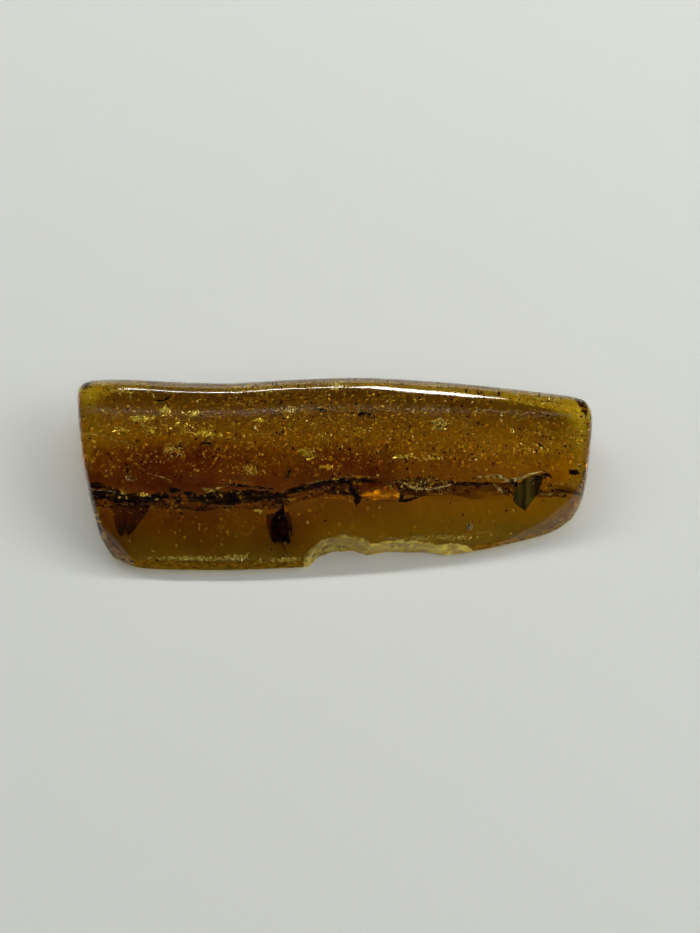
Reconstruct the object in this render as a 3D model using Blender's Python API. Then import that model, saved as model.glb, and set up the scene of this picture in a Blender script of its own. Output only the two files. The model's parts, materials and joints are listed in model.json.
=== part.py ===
"""A polished, free-form bar of amber that holds fossil insects.

The real thing is one lump of fossil resin, ground to a long bar with a level
top, a sloping front and a flat underside, and polished. A strip of its front edge has
been chipped away. It is one piece, so it is one closed body. It lies on its
flat underside: X runs along the bar, -Y is its chipped front, +Z is up, and
the origin is under the middle of the bar.
"""
import math

import bmesh
import bpy
from mathutils import Matrix, Vector

MM = 0.001

# Driving heights of the bar, in millimetres: of the top, and of the rim, where
# the bar is widest, which is low along the front and rises towards the back.
# The underside is ground flat a little way up.
THICKNESS = 10.4
FRONT_RIM_HEIGHT = 0.9
BACK_RIM_HEIGHT = 4.2
UNDERSIDE_GRIND = 0.3

# The outline seen from above, before the edge was chipped, as four sides
# that meet halfway round the four rounded corners. The long sides run from
# left to right and the ends from front to back, in millimetres.
BACK_SIDE = [
    (-34.9, 12.9),
    (-32.8, 13.5),
    (-27.0, 13.5),
    (-19.5, 13.0),
    (-13.0, 12.9),
    (-5.1, 13.5),
    (3.6, 13.8),
    (14.8, 13.1),
    (24.0, 12.1),
    (31.2, 11.1),
    (33.6, 10.5),
    (34.9, 9.5),
]
FRONT_SIDE = [
    (-29.6, -12.0),
    (-26.4, -13.4),
    (-20.0, -13.8),
    (-12.9, -13.8),
    (-5.8, -13.5),
    (3.0, -13.0),
    (12.0, -12.1),
    (20.0, -10.8),
    (27.0, -9.0),
    (30.2, -7.8),
    (32.5, -6.1),
]
LEFT_END = [
    (-29.6, -12.0),
    (-31.5, -9.2),
    (-33.1, -4.1),
    (-34.4, 1.4),
    (-35.3, 6.9),
    (-35.7, 10.9),
    (-34.9, 12.9),
]
RIGHT_END = [
    (32.5, -6.1),
    (34.0, -3.7),
    (34.9, 0.8),
    (35.6, 5.2),
    (35.6, 8.0),
    (34.9, 9.5),
]

# How full the bar's sections are: 2 is an ellipse, and a higher power keeps
# a face level for longer and turns it down later. The top is level from end
# to end and round at the back, and it slopes down to the front, where the
# power is that of a plain curve. The underside is flat both ways.
TOP_FULLNESS_ALONG = 120.0
TOP_FULLNESS_BACK = 3.8
TOP_FULLNESS_FRONT = 1.8
UNDER_FULLNESS_ALONG = 16.0
UNDER_FULLNESS_ACROSS = 6.0

# The top is highest left of the middle and falls away towards the right end
CREST_X = -9.0
CREST_FALL = 0.26
CREST_REACH = 44.0

# Chips along the front edge: each left a shell-shaped hollow, given here as
# the middle and the three radii of the ellipsoid that fits it
CHIPS = [
    ((1.5, -14.7, 2.0), (5.6, 4.6, 4.6)),
    ((9.4, -16.6, 1.4), (11.0, 6.1, 5.0)),
    ((16.8, -15.8, 2.4), (9.8, 5.0, 4.0)),
]

# Mesh divisions along and across the bar, and how finely a chip is rounded
DIVISIONS_ALONG = 46
DIVISIONS_ACROSS = 22
CHIP_SUBDIVISIONS = 3

# The polish takes the point off each corner within this reach, in millimetres
CORNER_REACH = 3.0
CORNER_PASSES = 3


def smooth_between(points, key, value, at):
    """Value at a key, on the smooth curve through points sorted by that key."""
    last = len(points) - 2
    index = 0
    while index < last and points[index + 1][key] < at:
        index += 1
    start, end = points[index], points[index + 1]
    before = points[max(index - 1, 0)]
    after = points[min(index + 2, last + 1)]
    span = end[key] - start[key]
    slope_in = (end[value] - before[value]) / (end[key] - before[key]) * span
    slope_out = (after[value] - start[value]) / (after[key] - start[key]) * span
    t = (at - start[key]) / span
    fade = 2 * t**3 - 3 * t**2 + 1
    rise = t**3 - 2 * t**2 + t
    settle = t**3 - t**2
    return fade * start[value] + rise * slope_in + (1 - fade) * end[value] + settle * slope_out


def along_side(side, share):
    """A point of a long side, a share of the way from its left corner."""
    x = side[0][0] + (side[-1][0] - side[0][0]) * share
    return Vector((x, smooth_between(side, 0, 1, x)))


def along_end(end, share):
    """A point of an end, a share of the way from its front corner."""
    y = end[0][1] + (end[-1][1] - end[0][1]) * share
    return Vector((smooth_between(end, 1, 0, y), y))


def plan_point(u, v):
    """The place in the outline of a square's point, with u and v from -1 to 1."""
    right = (u + 1) / 2
    back = (v + 1) / 2
    sides = along_side(FRONT_SIDE, right) * (1 - back) + along_side(BACK_SIDE, right) * back
    ends = along_end(LEFT_END, back) * (1 - right) + along_end(RIGHT_END, back) * right
    front_corners = Vector(FRONT_SIDE[0]) * (1 - right) + Vector(FRONT_SIDE[-1]) * right
    back_corners = Vector(BACK_SIDE[0]) * (1 - right) + Vector(BACK_SIDE[-1]) * right
    return sides + ends - front_corners * (1 - back) - back_corners * back


def swell(share, fullness):
    """How far a rounded face stands off the rim: 0 at the rim and 1 in the middle."""
    return math.sqrt(max(0.0, 1.0 - abs(share) ** fullness))


def rim_height(v):
    """Height of the rim, from the front to the back of the bar."""
    return FRONT_RIM_HEIGHT + (BACK_RIM_HEIGHT - FRONT_RIM_HEIGHT) * (v + 1.0) / 2


def top_height(u, v, x):
    """Height of the top: level, round at the back and sloping at the front."""
    fall = CREST_FALL * ((x - CREST_X) / CREST_REACH) ** 2
    slope = max(0.0, 1.0 - abs(v) ** TOP_FULLNESS_FRONT)
    across = swell(v, TOP_FULLNESS_BACK) if v > 0 else slope
    rise = (THICKNESS - rim_height(v)) * (1.0 - fall)
    return rim_height(v) + rise * swell(u, TOP_FULLNESS_ALONG) * across


def underside_height(u, v, x):
    """Height of the underside, which is flat at zero but for its rounded edge."""
    drop = (rim_height(v) + UNDERSIDE_GRIND) * swell(u, UNDER_FULLNESS_ALONG) * swell(v, UNDER_FULLNESS_ACROSS)
    return max(0.0, rim_height(v) - drop)


def add_face(bm, height):
    """Lay a grid over the outline, crowded towards the rim, and lift it to a height."""
    grid = bmesh.ops.create_grid(bm, x_segments=DIVISIONS_ALONG, y_segments=DIVISIONS_ACROSS, size=1.0)
    for vert in grid["verts"]:
        u = math.sin(vert.co.x * math.pi / 2)
        v = math.sin(vert.co.y * math.pi / 2)
        place = plan_point(u, v)
        vert.co = Vector((place.x, place.y, height(u, v, place.x))) * MM


def round_corners(bm):
    """Rub the rim smooth where two sides of the outline meet."""
    corners = []
    for side, height in ((BACK_SIDE, BACK_RIM_HEIGHT), (FRONT_SIDE, FRONT_RIM_HEIGHT)):
        for end in (0, -1):
            corners.append(Vector((*side[end], height)) * MM)
    rubbed = []
    for vert in bm.verts:
        if min((vert.co - corner).length for corner in corners) < CORNER_REACH * MM:
            rubbed.append(vert)
    for _ in range(CORNER_PASSES):
        bmesh.ops.smooth_vert(
            bm, verts=rubbed, factor=0.5, use_axis_x=True, use_axis_y=True, use_axis_z=True
        )


def amber_material():
    """Clear golden-brown fossil resin with a glassy hand polish."""
    material = bpy.data.materials.new("amber")
    material.use_nodes = True
    shader = material.node_tree.nodes["Principled BSDF"]
    shader.inputs["Base Color"].default_value = (0.42, 0.19, 0.02, 1.0)
    shader.inputs["Roughness"].default_value = 0.08
    shader.inputs["Metallic"].default_value = 0.0
    shader.inputs["IOR"].default_value = 1.54
    return material


def amber_bar():
    """The whole bar before it was chipped: its top and its underside, joined at the rim."""
    bm = bmesh.new()
    add_face(bm, top_height)
    add_face(bm, underside_height)
    bmesh.ops.remove_doubles(bm, verts=bm.verts, dist=0.00001)
    round_corners(bm)
    bmesh.ops.recalc_face_normals(bm, faces=bm.faces)
    mesh = bpy.data.meshes.new("amber")
    bm.to_mesh(mesh)
    bm.free()
    mesh.shade_smooth()
    mesh.materials.append(amber_material())
    bar = bpy.data.objects.new("amber", mesh)
    bpy.context.collection.objects.link(bar)
    return bar


def break_chip(bar, index, middle, radii):
    """Break one shell-shaped hollow out of the bar's edge."""
    bm = bmesh.new()
    place = Matrix.Translation(Vector(middle) * MM) @ Matrix.Diagonal((*radii, 1.0)) @ Matrix.Scale(MM, 4)
    bmesh.ops.create_icosphere(bm, subdivisions=CHIP_SUBDIVISIONS, radius=1.0, matrix=place)
    mesh = bpy.data.meshes.new(f"chip_{index}")
    bm.to_mesh(mesh)
    bm.free()
    cutter = bpy.data.objects.new(f"chip_{index}", mesh)
    bpy.context.collection.objects.link(cutter)
    cutter.hide_render = True
    cutter.display_type = "WIRE"
    cut = bar.modifiers.new(f"chip {index}", "BOOLEAN")
    cut.operation = "DIFFERENCE"
    cut.object = cutter


for old in list(bpy.data.objects):
    bpy.data.objects.remove(old)

amber = amber_bar()
for number, (chip_middle, chip_radii) in enumerate(CHIPS, start=1):
    break_chip(amber, number, chip_middle, chip_radii)
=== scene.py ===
import json
import math
import random

import bmesh
import bpy
import numpy
from mathutils import Matrix, Vector, noise
from mathutils.bvhtree import BVHTree

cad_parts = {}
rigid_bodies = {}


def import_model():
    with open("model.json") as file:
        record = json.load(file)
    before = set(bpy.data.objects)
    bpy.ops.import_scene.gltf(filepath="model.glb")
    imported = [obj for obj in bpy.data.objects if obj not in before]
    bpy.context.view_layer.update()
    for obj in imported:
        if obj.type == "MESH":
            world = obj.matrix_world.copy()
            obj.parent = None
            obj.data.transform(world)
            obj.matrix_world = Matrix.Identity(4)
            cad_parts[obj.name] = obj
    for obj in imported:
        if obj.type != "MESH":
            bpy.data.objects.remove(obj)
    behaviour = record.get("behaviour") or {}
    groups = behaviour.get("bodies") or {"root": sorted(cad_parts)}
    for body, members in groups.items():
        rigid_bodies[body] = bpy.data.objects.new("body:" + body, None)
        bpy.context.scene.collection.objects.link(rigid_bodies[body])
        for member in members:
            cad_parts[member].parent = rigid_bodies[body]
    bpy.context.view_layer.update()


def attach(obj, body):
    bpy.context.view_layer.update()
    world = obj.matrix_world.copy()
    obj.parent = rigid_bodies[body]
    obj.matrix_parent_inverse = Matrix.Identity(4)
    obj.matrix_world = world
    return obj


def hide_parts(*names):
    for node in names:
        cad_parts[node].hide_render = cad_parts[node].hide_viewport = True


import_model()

MM = 0.001


# The amber: one lump of fossil resin, ground to a long bar with a level top
# that slopes down to the front, and a flat underside, and then polished by hand,
# so its faces are glassy but never quite true. Sizes as the solid's, in mm.
THICKNESS = 10.4
FRONT_RIM_HEIGHT = 0.9
BACK_RIM_HEIGHT = 4.2
UNDERSIDE_GRIND = 0.3
BACK_SIDE = [
    (-34.9, 12.9), (-32.8, 13.5), (-27.0, 13.5), (-19.5, 13.0), (-13.0, 12.9), (-5.1, 13.5),
    (3.6, 13.8), (14.8, 13.1), (24.0, 12.1), (31.2, 11.1), (33.6, 10.5), (34.9, 9.5),
]
FRONT_SIDE = [
    (-29.6, -12.0), (-26.4, -13.4), (-20.0, -13.8), (-12.9, -13.8), (-5.8, -13.5), (3.0, -13.0),
    (12.0, -12.1), (20.0, -10.8), (27.0, -9.0), (30.2, -7.8), (32.5, -6.1),
]
LEFT_END = [
    (-29.6, -12.0), (-31.5, -9.2), (-33.1, -4.1), (-34.4, 1.4), (-35.3, 6.9), (-35.7, 10.9),
    (-34.9, 12.9),
]
RIGHT_END = [(32.5, -6.1), (34.0, -3.7), (34.9, 0.8), (35.6, 5.2), (35.6, 8.0), (34.9, 9.5)]
TOP_FULLNESS_ALONG = 120.0
TOP_FULLNESS_BACK = 3.8
TOP_FULLNESS_FRONT = 1.8
UNDER_FULLNESS_ALONG = 16.0
UNDER_FULLNESS_ACROSS = 6.0
CREST_X = -9.0
CREST_FALL = 0.26
CREST_REACH = 44.0
CORNER_REACH = 3.0
CORNER_PASSES = 15
FACE_DIVISIONS = (260, 118)
SHARP_ANGLE = math.radians(40)

# Chips along the front edge, each a shell-shaped hollow: the middle and radii of
# the ellipsoid that fits it. Rings spread over the break from where it was struck.
CHIPS = [
    ((1.5, -14.7, 2.0), (5.6, 4.6, 4.6)),
    ((9.4, -16.6, 1.4), (11.0, 6.1, 5.0)),
    ((16.8, -15.8, 2.4), (9.8, 5.0, 4.0)),
]
CHIP_RINGS = 26.0
CHIP_RING_DEPTH = 0.008
CHIP_ROUGHNESS = 0.045
POLISH_WAVE = 7.0
POLISH_DEPTH = 0.05


def between(ends, share):
    """The value a share of the way from one end to the other."""
    return ends[0] + (ends[1] - ends[0]) * share


def smooth_between(points, key, value, at):
    """Value at a key, on the smooth curve through points sorted by that key."""
    last = len(points) - 2
    index = 0
    while index < last and points[index + 1][key] < at:
        index += 1
    start, end = points[index], points[index + 1]
    before = points[max(index - 1, 0)]
    after = points[min(index + 2, last + 1)]
    span = end[key] - start[key]
    slope_in = (end[value] - before[value]) / (end[key] - before[key]) * span
    slope_out = (after[value] - start[value]) / (after[key] - start[key]) * span
    t = (at - start[key]) / span
    fade = 2 * t**3 - 3 * t**2 + 1
    rise = t**3 - 2 * t**2 + t
    settle = t**3 - t**2
    return fade * start[value] + rise * slope_in + (1 - fade) * end[value] + settle * slope_out


def side_point(side, key, share):
    """A point of one side of the outline, a share of the way along it."""
    at = side[0][key] + (side[-1][key] - side[0][key]) * share
    other = smooth_between(side, key, 1 - key, at)
    return Vector((at, other)) if key == 0 else Vector((other, at))


def plan_point(u, v):
    """The place in the outline of a square's point, with u and v from -1 to 1."""
    right = (u + 1) / 2
    back = (v + 1) / 2
    sides = side_point(FRONT_SIDE, 0, right).lerp(side_point(BACK_SIDE, 0, right), back)
    ends = side_point(LEFT_END, 1, back).lerp(side_point(RIGHT_END, 1, back), right)
    front = Vector(FRONT_SIDE[0]).lerp(Vector(FRONT_SIDE[-1]), right)
    rear = Vector(BACK_SIDE[0]).lerp(Vector(BACK_SIDE[-1]), right)
    return sides + ends - front.lerp(rear, back)


def swell(share, fullness):
    """How far a rounded face stands off the rim: 0 at the rim and 1 in the middle."""
    return math.sqrt(max(0.0, 1.0 - abs(share) ** fullness))


def rim_height(v):
    """Height of the rim, from the front to the back of the bar."""
    return between((FRONT_RIM_HEIGHT, BACK_RIM_HEIGHT), (v + 1.0) / 2)


def top_height(u, v, x):
    """Height of the top: level, round at the back and sloping at the front."""
    fall = CREST_FALL * ((x - CREST_X) / CREST_REACH) ** 2
    slope = max(0.0, 1.0 - abs(v) ** TOP_FULLNESS_FRONT)
    across = swell(v, TOP_FULLNESS_BACK) if v > 0 else slope
    rise = (THICKNESS - rim_height(v)) * (1.0 - fall)
    return rim_height(v) + rise * swell(u, TOP_FULLNESS_ALONG) * across


def underside_height(u, v, x):
    """Height of the underside, flat at zero but for its rounded edge, the same for every x."""
    drop = (rim_height(v) + UNDERSIDE_GRIND) * swell(u, UNDER_FULLNESS_ALONG)
    return max(0.0, rim_height(v) - drop * swell(v, UNDER_FULLNESS_ACROSS))


def add_face(bm, height):
    """Lay a grid over the outline, crowded towards the rim, and lift it to a height."""
    along, across = FACE_DIVISIONS
    grid = bmesh.ops.create_grid(bm, x_segments=along, y_segments=across, size=1.0)
    for vert in grid["verts"]:
        u = math.sin(vert.co.x * math.pi / 2)
        v = math.sin(vert.co.y * math.pi / 2)
        place = plan_point(u, v)
        vert.co = Vector((place.x, place.y, height(u, v, place.x))) * MM


def linear(hex_colour):
    """The linear colour of an sRGB hex colour."""
    channels = []
    for start in (0, 2, 4):
        value = int(hex_colour[start:start + 2], 16) / 255
        channels.append(value / 12.92 if value <= 0.04045 else ((value + 0.055) / 1.055) ** 2.4)
    return (*channels, 1.0)


def add_node(tree, kind, settings, links=()):
    """Add one node, set its sockets, properties or colour stops, and link each (socket, output) pair."""
    node = tree.nodes.new(kind)
    for name, value in settings.items():
        if name == "stops":
            stops = node.color_ramp.elements
            for stop, (position, colour) in ((stops[0], value[0]), (stops[1], value[-1])):
                stop.position = position
                stop.color = linear(colour)
            for position, colour in value[1:-1]:
                stops.new(position).color = linear(colour)
        elif isinstance(name, int) or name in node.inputs:
            node.inputs[name].default_value = value
        else:
            setattr(node, name, value)
    for name, output in links:
        tree.links.new(output, node.inputs[name])
    return node


def new_material(name):
    """A material with an empty tree but for its output."""
    material = bpy.data.materials.new(name)
    material.use_nodes = True
    tree = material.node_tree
    tree.nodes.clear()
    return material, tree, tree.nodes.new("ShaderNodeOutputMaterial")


# Amber is clear but strongly coloured: it swallows blue first and then green, so thin
# edges are yellow and thick parts red-brown. Fresh breaks are dull, powdery and pale, and
# so is the worn lower edge at the front. What it lies on has rubbed the underside dull.
AMBER_ABSORPTION = "f8ed10"
AMBER_DENSITY = 520.0
AMBER_IOR = 1.54
BREAK_DULLNESS = 0.38
CHIP_POWDER = (0.6, 0.85, 1.0)
BREAK_POWDER = (0.35, 0.95)
GROUND_DULLNESS = 0.3
WORN_EDGE = 1.0


def amber_material():
    """Fossil resin with a hand polish: glassy, with soft ripples, and dull where it broke."""
    material, tree, output = new_material("hand_polished_amber")
    place = add_node(tree, "ShaderNodeTexCoord", {}).outputs["Object"]
    smears = add_node(tree, "ShaderNodeTexNoise", {"Scale": 240.0, "Detail": 3.0}, [("Vector", place)])
    polish = add_node(
        tree, "ShaderNodeMapRange", {"To Min": 0.02, "To Max": 0.07}, [("Value", smears.outputs["Fac"])]
    )
    broken = add_node(tree, "ShaderNodeAttribute", {"attribute_name": "broken"}).outputs["Fac"]
    crumbs = add_node(tree, "ShaderNodeTexNoise", {"Scale": 1400.0, "Detail": 4.0}, [("Vector", place)])
    powder = add_node(
        tree, "ShaderNodeMapRange",
        {"From Min": 0.42, "From Max": 0.58,
         "To Min": 1.0 - BREAK_POWDER[0], "To Max": 1.0 - BREAK_POWDER[1]},
        [("Value", crumbs.outputs["Fac"])],
    )
    cleared = add_node(
        tree, "ShaderNodeMix", {"data_type": "FLOAT", "A": 1.0},
        [("Factor", broken), ("B", powder.outputs[0])],
    )
    stained = add_node(
        tree, "ShaderNodeMath", {"operation": "MULTIPLY", 1: 3.0, "use_clamp": True}, [(0, broken)]
    )
    tint = add_node(
        tree, "ShaderNodeMix", {"data_type": "RGBA", 6: linear("fffdf8"), 7: linear("f8de62")},
        [("Factor", stained.outputs[0])],
    )
    ground = add_node(tree, "ShaderNodeAttribute", {"attribute_name": "ground"}).outputs["Fac"]
    ground_too = add_node(
        tree, "ShaderNodeMath", {"operation": "MULTIPLY_ADD", 1: GROUND_DULLNESS},
        [(0, ground), (2, polish.outputs[0])],
    )
    dullness = add_node(
        tree, "ShaderNodeMath", {"operation": "MULTIPLY_ADD", 1: BREAK_DULLNESS},
        [(0, broken), (2, ground_too.outputs[0])],
    )
    dent = add_node(
        tree, "ShaderNodeBump", {"Distance": 0.00012},
        [("Strength", broken), ("Height", crumbs.outputs["Fac"])],
    )
    shader = add_node(
        tree, "ShaderNodeBsdfPrincipled", {"IOR": AMBER_IOR, "Metallic": 0.0},
        [("Base Color", tint.outputs[2]), ("Roughness", dullness.outputs[0]),
         ("Transmission Weight", cleared.outputs[0]), ("Normal", dent.outputs[0])],
    )
    body = add_node(
        tree, "ShaderNodeVolumeAbsorption", {"Color": linear(AMBER_ABSORPTION), "Density": AMBER_DENSITY}
    )
    tree.links.new(shader.outputs[0], output.inputs["Surface"])
    tree.links.new(body.outputs[0], output.inputs["Volume"])
    return material


def mesh_of(bm, name):
    """The mesh of a finished bmesh."""
    mesh = bpy.data.meshes.new(name)
    bm.to_mesh(mesh)
    bm.free()
    return mesh


def keep_piece(mesh, name, material):
    """Turn a mesh into a smooth piece that rides with the amber."""
    mesh.materials.append(material)
    mesh.shade_smooth()
    piece = bpy.data.objects.new(name, mesh)
    bpy.context.scene.collection.objects.link(piece)
    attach(piece, "root")
    return piece


def roughen(bm, depth, grain):
    """Push a surface in and out along its normals by a noise of one grain size, in mm."""
    bm.normal_update()
    for vert in bm.verts:
        vert.co += vert.normal * noise.noise(vert.co / (grain * MM)) * depth * MM


def chip_cutter(number, middle, radii):
    """The lump that one blow broke off, with shell-like rings on it."""
    cutter = bmesh.new()
    bmesh.ops.create_icosphere(cutter, subdivisions=6, radius=1.0)
    struck = Vector((0.3, 0.2, 1.0)).normalized()
    for vert in cutter.verts:
        ring = math.sin(vert.co.angle(struck) * CHIP_RINGS) * CHIP_RING_DEPTH
        bumps = noise.noise(vert.co * 3.0 + Vector((number, 0.0, 0.0))) * CHIP_ROUGHNESS
        vert.co *= 1.0 + ring + bumps
    place = Matrix.Translation(Vector(middle) * MM) @ Matrix.Diagonal((*radii, 1.0)) @ Matrix.Scale(MM, 4)
    bmesh.ops.transform(cutter, matrix=place, verts=cutter.verts)
    return bpy.data.objects.new(f"chip_{number}", mesh_of(cutter, f"chip_{number}"))


bar = bmesh.new()
add_face(bar, top_height)
add_face(bar, underside_height)
bmesh.ops.remove_doubles(bar, verts=bar.verts, dist=0.000001)
corners = [Vector((*BACK_SIDE[end], BACK_RIM_HEIGHT)) * MM for end in (0, -1)]
corners += [Vector((*FRONT_SIDE[end], FRONT_RIM_HEIGHT)) * MM for end in (0, -1)]
rubbed = [v for v in bar.verts if min((v.co - c).length for c in corners) < CORNER_REACH * MM]
for _ in range(CORNER_PASSES):
    bmesh.ops.smooth_vert(bar, verts=rubbed, factor=0.5, use_axis_x=True, use_axis_y=True, use_axis_z=True)
bmesh.ops.recalc_face_normals(bar, faces=bar.faces)
bar.normal_update()
for vert in bar.verts:
    above = min(1.0, vert.co.z / (BACK_RIM_HEIGHT * MM))
    wave = noise.noise(vert.co / (POLISH_WAVE * MM))
    vert.co += vert.normal * wave * POLISH_DEPTH * above * MM
amber = keep_piece(mesh_of(bar, "amber_bar"), "amber_bar", amber_material())
for number, (middle, radii) in enumerate(CHIPS):
    cutter = chip_cutter(number, middle, radii)
    bpy.context.scene.collection.objects.link(cutter)
    cut = amber.modifiers.new(f"chip {number}", "BOOLEAN")
    cut.operation = "DIFFERENCE"
    cut.object = cutter
graph = bpy.context.evaluated_depsgraph_get()
chipped_mesh = bpy.data.meshes.new_from_object(amber.evaluated_get(graph), depsgraph=graph)
amber.modifiers.clear()
amber.data = chipped_mesh
for number in range(len(CHIPS)):
    bpy.data.objects.remove(bpy.data.objects[f"chip_{number}"])
broken = chipped_mesh.attributes.new("broken", "FLOAT", "POINT")
ground = chipped_mesh.attributes.new("ground", "FLOAT", "POINT")
for vert, mark, flat in zip(chipped_mesh.vertices, broken.data, ground.data):
    flat.value = 1.0 if vert.normal.z < -0.7 else 0.0
    for (middle, radii), share in zip(CHIPS, CHIP_POWDER):
        reach = Vector((vert.co / MM - Vector(middle))[axis] / radii[axis] for axis in range(3))
        if reach.length < 1.0 + CHIP_ROUGHNESS:
            mark.value = share
    height = vert.co.z / MM
    if vert.co.y < 0 and 0.01 < height < FRONT_RIM_HEIGHT and vert.normal.z < 0.0:
        mark.value = max(mark.value, WORN_EDGE)
chipped_mesh.shade_smooth()
chipped_mesh.set_sharp_from_angle(angle=SHARP_ANGLE)
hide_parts("amber")
amber_skin = BVHTree.FromPolygons(
    [vert.co / MM for vert in chipped_mesh.vertices], [face.vertices[:] for face in chipped_mesh.polygons]
)


def room_inside(x, y, gap):
    """The lowest and highest place in the amber over a point, a gap clear of its faces, or None."""
    above = amber_skin.ray_cast(Vector((x, y, 30.0)), Vector((0.0, 0.0, -1.0)))[0]
    below = amber_skin.ray_cast(Vector((x, y, -30.0)), Vector((0.0, 0.0, 1.0)))[0]
    if above is None or above.z - below.z < 2.2 * gap:
        return None
    return below.z + gap, above.z - gap


# The veil between the two flows of resin: leaf litter and dust settled on the
# first flow before the second ran over it. It stands nearly upright and is seen
# edge-on from the front, where it makes a dark band from one end to the other.
VEIL_LINE = [
    (-33.9, -5.2), (-30.0, -5.2), (-26.7, -5.7), (-23.0, -5.5), (-17.8, -5.9), (-13.0, -5.6),
    (-9.0, -5.6), (-6.9, -5.5), (-4.7, -4.7), (-2.0, -4.0), (0.6, -3.6), (4.3, -3.5), (8.0, -3.6),
    (11.5, -3.8), (14.7, -3.7), (17.9, -3.8), (21.4, -3.7), (25.0, -3.6), (30.0, -3.8), (34.5, -4.2),
]
VEIL_HEIGHTS = (2.4, 6.9)
VEIL_LEAN = 0.2
VEIL_LINE_HEIGHT = 6.0
VEIL_THICKNESS = 0.05
VEIL_GAP = (6.2, 2.4)
VEIL_FOOT = 3.2
VEIL_CRUMPLE = (0.35, 0.15)
VEIL_SWAY = 0.6
SKIN_GAP = 0.2

# Sealed in amber, cuticle, bark and dust have nearly the index of what lies round
# them (1.5 to 1.56 against 1.54), so they hardly shine: this is the one over the other.
SEALED_IOR = 1.02


def new_piece(bm, name, material):
    """Keep a sealed-in piece under the amber's faces, face it outward and finish it."""
    for vert in bm.verts:
        room = room_inside(vert.co.x / MM, vert.co.y / MM, SKIN_GAP)
        while not room:
            vert.co.xy *= 0.99
            room = room_inside(vert.co.x / MM, vert.co.y / MM, SKIN_GAP)
        vert.co.z = min(max(vert.co.z, room[0] * MM), room[1] * MM)
    bmesh.ops.recalc_face_normals(bm, faces=bm.faces)
    piece = keep_piece(mesh_of(bm, name), name, material)
    piece.data.set_sharp_from_angle(angle=SHARP_ANGLE)


def mottled_material(name, grain, detail, stops, surface, patches=None, dents=None, cover=None):
    """A sealed-in finish: a mottle, so many to the metre along x, y and z, that runs through colours.

    Coarser patches may darken it, and the mottle may dent it (strength, depth in metres) or
    thin it to a see-through film (where that starts and ends, and the most that it covers).
    """
    material, tree, output = new_material(name)
    place = add_node(tree, "ShaderNodeTexCoord", {}).outputs["Object"]
    spread = add_node(tree, "ShaderNodeMapping", {"Scale": grain}, [("Vector", place)]).outputs[0]
    noisy = add_node(tree, "ShaderNodeTexNoise", {"Scale": 1.0, "Detail": detail}, [("Vector", spread)])
    mottle = tone = noisy.outputs["Fac"]
    if patches:
        coarse = add_node(tree, "ShaderNodeTexNoise", {"Scale": patches, "Detail": 2.0}, [("Vector", place)])
        both = [(0, mottle), (1, coarse.outputs["Fac"])]
        tone = add_node(tree, "ShaderNodeMath", {"operation": "MULTIPLY"}, both).outputs[0]
    ramp = add_node(tree, "ShaderNodeValToRGB", {"stops": stops}, [("Fac", tone)])
    links = [("Base Color", ramp.outputs["Color"])]
    if dents:
        bump = {"Strength": dents[0], "Distance": dents[1]}
        links.append(("Normal", add_node(tree, "ShaderNodeBump", bump, [("Height", mottle)]).outputs[0]))
    if cover:
        film = {"From Min": cover[0], "From Max": cover[1], "To Min": 0.0, "To Max": cover[2]}
        links.append(("Alpha", add_node(tree, "ShaderNodeMapRange", film, [("Value", mottle)]).outputs[0]))
    sealed = {"IOR": SEALED_IOR, "Metallic": 0.0, **surface}
    shader = add_node(tree, "ShaderNodeBsdfPrincipled", sealed, links)
    tree.links.new(shader.outputs[0], output.inputs["Surface"])
    return material


# Rotted bark and leaf litter: dull, fibrous along the bar, almost black where it is thick
litter = mottled_material(
    "bark_litter", (260.0, 2600.0, 2600.0), 4.0, [(0.16, "150a08"), (0.28, "33190c"), (0.42, "7c6830")],
    {"Roughness": 0.75}, patches=700.0, dents=(0.6, 0.0001),
)
# A film of dust and rotted leaf, thin enough to see through in places
veil_film = mottled_material(
    "dust_veil", (160.0, 500.0, 500.0), 5.0, [(0.4, "6b4216"), (0.6, "28130a")],
    {"Roughness": 0.8}, cover=(0.38, 0.62, 0.42),
)

veil = bmesh.new()
grid = bmesh.ops.create_grid(veil, x_segments=150, y_segments=14, size=0.5)
for vert in grid["verts"]:
    x = between((VEIL_LINE[0][0] + 1.0, VEIL_LINE[-1][0] - 1.0), vert.co.x + 0.5)
    z = between(VEIL_HEIGHTS, vert.co.y + 0.5)
    y = smooth_between(VEIL_LINE, 0, 1, x) + (VEIL_LINE_HEIGHT - z) * VEIL_LEAN
    folds = VEIL_CRUMPLE[0] * noise.noise(Vector((x / 3.0, 0.0, z / 3.0)))
    y += folds + VEIL_CRUMPLE[1] * noise.noise(Vector((x, 5.0, z)))
    z += VEIL_SWAY * noise.noise(Vector((x / 4.0, 9.0, 0.0)))
    vert.co = Vector((x, y, z)) * MM
torn = []
for face in veil.faces:
    middle = face.calc_center_median() / MM
    if abs(middle.x - VEIL_GAP[0]) < VEIL_GAP[1] + noise.noise(middle) and middle.z > VEIL_FOOT:
        torn.append(face)
bmesh.ops.delete(veil, geom=torn, context="FACES")
bmesh.ops.recalc_face_normals(veil, faces=veil.faces)
bmesh.ops.solidify(veil, geom=veil.faces[:], thickness=VEIL_THICKNESS * MM)
new_piece(veil, "dust_veil", veil_film)


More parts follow.
